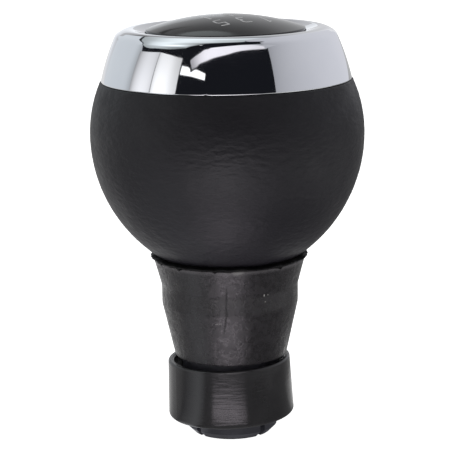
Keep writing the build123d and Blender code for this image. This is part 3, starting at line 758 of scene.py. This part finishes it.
# The light tent, as panels on a ball about the trim ring. Each has a lower and an upper edge through
# (turn, rise) points, its glow from left to right, shares of that from low to high, and a tint. A rise is
# measured from level. A later panel hangs in front of an earlier one. The ball's sizes are in metres.
TENT_CENTRE = Vector((0, 0, 0.073))
TENT_RADIUS = 4.0
TENT_STEP = 0.02
TENT_GAIN = 1.18
TENT_PANELS = {
    "dark_room": (
        [(-180, -90), (180, -90)],
        [(-180, 90), (180, 90)],
        [0.011, 0.011], [1, 1], "#dde4ff"),
    "left_backdrop": (
        [(-180, -12), (-97, -12)],
        [(-180, 27.5), (-168.1, 28.9), (-156.3, 34.1), (-144.4, 37.8), (-132.6, 39), (-120.7, 38.4),
         (-110.5, 34.5), (-104, 28.6), (-97, 22.8)],
        [0.67, 0.67, 0.65, 0.63, 0.62, 0.58, 0.36], [1, 1], "#f4faff"),
    "right_backdrop": (
        [(42.6, -12), (180, -12)],
        [(47.8, 35.5), (54, 52), (72, 67), (98, 71.5), (116, 70.5), (135, 67), (155, 64.5), (180, 64)],
        [0.37, 0.43, 0.51, 0.575, 0.615, 0.64, 0.63, 0.6], [1, 1, 0.98, 0.9, 0.8], "#f7f8ff"),
    "back_wall": (
        [(-194, -12), (-163, -12)],
        [(-194, 47), (-182, 42), (-171, 36), (-163, 33)],
        [0.95, 0.74, 0.7, 0.66, 0.63, 0.62], [1, 0.95, 0.83, 0.75, 0.66, 0.46, 0.36], "#fbfcff"),
    "left_sweep": (
        [(-180, -12), (-148, -12)],
        [(-180, 15), (-148, 11)],
        [0.95, 0.92, 0.85, 0.7, 0.64], [1, 1, 0.9, 0.74], "#f8fbff"),
    "back_line": (
        [(-175, 27.5), (-172.3, 25.3), (-170.3, 23.4), (-167.5, 22.6), (-163, 22)],
        [(-175, 28.2), (-172.3, 27), (-170.3, 25.8), (-167.5, 28.5), (-163, 33)],
        [0.38, 0.2, 0.1, 0.16, 0.2], [1, 1], "#ffffff"),
    "far_panel": (
        [(-99.5, -12), (-76, -12)],
        [(-99.5, 22.6), (-87.2, 26.1), (-74.6, 29.5)],
        [0.34, 0.7, 0.9, 0.88, 0.72], [1, 1, 1, 0.8], "#fdfdff"),
    "panel_seam": (
        [(-76.2, -12), (-74.6, -12)],
        [(-74.8, 29.4), (-73.4, 29.6)],
        [0.6, 0.3, 0.6], [1, 1], "#fdfdff"),
    "near_panel": (
        [(-74.8, -12), (-50, -12)],
        [(-73.6, 29.7), (-61.7, 31.3), (-46.8, 32.4)],
        [0.85, 1.1, 1.15, 1.1, 0.85, 0.74], [1, 1, 0.95, 0.75], "#ffffff"),
    "overhead_light": (
        [(-195, 46), (-182, 41), (-177.6, 38.2), (-171, 34.6), (-164, 32.2), (-157, 35.3), (-145.5, 39.2),
         (-126, 40.5), (-111.5, 36.5), (-104.5, 30.3), (-99.5, 25.8), (-93.7, 25.9), (-78.3, 30.1),
         (-61.5, 33.9), (-45.6, 37.5)],
        [(-195, 70), (-189, 73.5), (-184, 75), (-177, 76.5), (-170, 78), (-163, 79), (-147, 80),
         (-126, 80.5), (-113, 80.5), (-104, 80), (-92, 79), (-79, 78), (-64, 74), (-50.5, 64), (-45.5, 46)],
        [0.8, 0.9, 0.95, 1.0, 1.1, 1.0, 0.95, 1.0, 1.0, 0.95, 0.95, 1.05, 1.25, 0.75, 0.4],
        [0.4, 0.52, 0.76, 0.92, 0.97, 0.8, 0.6, 0.39, 0.12], "#f5fdff"),
    "lens_strip": (
        [(-182, 41), (-177.6, 38.2), (-171, 34.6), (-164, 32.2)],
        [(-182, 46), (-177.6, 44.5), (-171, 43), (-164, 41)],
        [0.55, 0.7, 0.7, 0.62], [1, 1, 0.95, 0.85], "#f5fdff"),
    "front_sheet": (
        [(-34.7, 28.8), (-30, 30.7), (-27.3, 32.3), (-20.5, 34.1), (-14, 35.7), (-5.7, 36.9), (12.6, 38.7),
         (28, 38.4), (44.5, 36.6)],
        [(-38.2, 32.6), (-34.9, 34.4), (-29.7, 36.8), (-24.4, 39), (-17.8, 40.8), (-11.7, 47.5),
         (-4.6, 53.8), (8, 61), (27, 66.5), (44.5, 65.5)],
        [0.33, 0.62, 0.88, 0.94, 0.92, 0.86, 0.72], [1, 1], "#fdfaff"),
    "sheet_return": (
        [(44.3, 36.4), (60, 36.4)],
        [(44.3, 66), (60, 66)],
        [0.43, 0.47], [1, 0.95, 0.75], "#f7f8ff"),
    "side_window": (
        [(-46.3, 25.2), (-33.2, 25.6), (-20.9, 24.8)],
        [(-45.6, 29.2), (-37.8, 29.3), (-35.5, 27.5), (-30.5, 29.2), (-20.6, 28)],
        [1.2, 1.2], [1, 1], "#ffffff"),
    "lamp_spot": (
        [(-50, 66), (-46, 66)],
        [(-51, 69.5), (-47, 69.5)],
        [1.2, 1.2], [1, 1], "#ffffff"),
}

# Cards round the knob: the turns that each runs between, its near and its far edge as (distance from the
# axis, height), its glow from left to right, shares of that from near to far, and a tint. Each lies a
# little above the one before.
CARD_LIFT = 0.2
CARDS = {
    "table": (
        (-180, 180), (6, 0), (3900, 0),
        [0.8, 0.75, 0.36, 0.22, 0.3, 0.14, 0.16, 0.3, 0.6], [1, 1], "#ffffff"),
    "left_card": (
        (-86, -43), (8, 0), (320, 0),
        [0.1, 0.45, 0.8, 1.1, 0.5], [1, 1, 1.25, 1.3], "#f8fbff"),
    "right_card": (
        (32, 110), (95, 0), (330, 0),
        [0.5, 0.95, 0.95, 0.6], [1, 1], "#ffffff"),
    "back_card": (
        (112, 172), (20, 0), (46, 0),
        [0.5, 0.9, 0.8], [1, 1], "#ffffff"),
    "front_card": (
        (-28, 23), (28, 0), (51, 0),
        [1.9, 2.2, 2.3, 2.2, 1.8, 1.0], [1.7, 1.55, 1.2, 0.7], "#fff5ff"),
    "front_screen": (
        (-30, 30), (66, 16), (66, 44),
        [1.7, 3.0, 3.2, 3.0, 1.9, 0.9], [1, 1, 0.9, 0.6], "#fffaff"),
}

# Fineness of a hung sheet, and half the floor's side in metres
SHEET_COLUMNS = 96
SHEET_ROWS = 24
FLOOR_REACH = 4.0


def along(points, share):
    """A place on the smooth curve through these points, at a share of the way along."""
    place = share * (len(points) - 1)
    index = min(int(place), len(points) - 2)
    before, start, end, after = (
        Vector(points[min(max(index + step, 0), len(points) - 1)]) for step in (-1, 0, 1, 2))
    t = place - index
    return 0.5 * (2 * start + (end - before) * t + (2 * before - 5 * start + 4 * end - after) * t ** 2
                  + (3 * start - before - 3 * end + after) * t ** 3)


def values_along(values, steps):
    """Values on the smooth curve through these, in even steps."""
    return [along([(value, 0) for value in values], step / steps).x for step in range(steps + 1)]


def tent_direction(turn, rise):
    """The direction at a turn and a rise."""
    level = TO_CAMERA * cos(radians(turn)) + TO_RIGHT * sin(radians(turn))
    return level * cos(radians(rise)) + Vector((0, 0, sin(radians(rise))))


def glowing_paper(name, tint):
    """Lit paper in this tint, as bright as the glow that its sheet has at each place."""
    paper = bpy.data.materials.new(name)
    paper.use_nodes = True
    paper.cycles.emission_sampling = "NONE"
    tree = paper.node_tree
    tree.nodes.clear()
    level = add_node(tree, "ShaderNodeAttribute", {}, attribute_name="glow")
    light = add_node(tree, "ShaderNodeEmission", {"Color": linear(tint), "Strength": (level, "Fac")})
    add_node(tree, "ShaderNodeOutputMaterial", {"Surface": (light, "Emission")})
    return paper


def hang_sheet(name, place, glow, fade, tint):
    """Hang one glowing sheet, which shows only in reflections. place(across, up) gives its points."""
    shape = bmesh.new()
    grid = [[shape.verts.new(place(column / SHEET_COLUMNS, row / SHEET_ROWS))
             for column in range(SHEET_COLUMNS + 1)] for row in range(SHEET_ROWS + 1)]
    for low, high in zip(grid, grid[1:]):
        for i in range(SHEET_COLUMNS):
            shape.faces.new((low[i], low[i + 1], high[i + 1], high[i]))
    mesh = bpy.data.meshes.new(name)
    shape.to_mesh(mesh)
    shape.free()
    levels = values_along(glow, SHEET_COLUMNS)
    shares = values_along(fade, SHEET_ROWS)
    mesh.attributes.new("glow", "FLOAT", "POINT").data.foreach_set(
        "value", [level * share for share in shares for level in levels])
    mesh.materials.append(glowing_paper(name, tint))
    sheet = bpy.data.objects.new(name, mesh)
    bpy.context.scene.collection.objects.link(sheet)
    sheet.visible_camera = False
    sheet.visible_diffuse = False
    sheet.visible_shadow = False
    sheet.visible_transmission = False


def hang_panel(layer, name, lower, upper, glow, fade, tint):
    """Hang one panel of the tent on its layer of the ball."""
    radius = TENT_RADIUS - TENT_STEP * layer

    def on_ball(across, up):
        turn, rise = along(lower, across).lerp(along(upper, across), up)
        return TENT_CENTRE + radius * tent_direction(turn, rise)

    hang_sheet(name, on_ball, [TENT_GAIN * level for level in glow], fade, tint)


def set_card(layer, name, turns, near, far, glow, fade, tint):
    """Set one card down by the knob."""
    lift = CARD_LIFT * (layer + 1)

    def on_table(across, up):
        turn = turns[0] + (turns[1] - turns[0]) * across
        distance, height = Vector(near).lerp(Vector(far), up)
        return (tent_direction(turn, 0) * distance + Vector((0, 0, height + lift))) * MM

    hang_sheet(name, on_table, glow, fade, tint)


def light_studio():
    """White floor and white surroundings, inside the tent and its cards."""
    for layer, (name, panel) in enumerate(TENT_PANELS.items()):
        hang_panel(layer, name, *panel)
    for layer, (name, card) in enumerate(CARDS.items()):
        set_card(layer, name, *card)
    mesh = bpy.data.meshes.new("floor")
    mesh.from_pydata([(-FLOOR_REACH, -FLOOR_REACH, 0), (FLOOR_REACH, -FLOOR_REACH, 0),
                      (FLOOR_REACH, FLOOR_REACH, 0), (-FLOOR_REACH, FLOOR_REACH, 0)], [], [(0, 1, 2, 3)])
    mesh.materials.append(new_material("white_card", {
        "Base Color": linear("#f6f6f6"), "Roughness": 0.9,
        "Emission Color": linear("#ffffff"), "Emission Strength": 1.0})[0])
    floor = bpy.data.objects.new("floor", mesh)
    bpy.context.scene.collection.objects.link(floor)
    floor.visible_glossy = False
    world = bpy.data.worlds.new("studio")
    world.use_nodes = True
    set_inputs(world.node_tree, world.node_tree.nodes["Background"], {
        "Color": linear("#ffffff"), "Strength": 0.45})
    bpy.context.scene.world = world
    bpy.context.scene.view_settings.view_transform = "Standard"


finish_solids()
make_chrome_ring()
make_leather_skin()
make_rubber_sleeve()
make_glue_line()
place_camera()
light_studio()
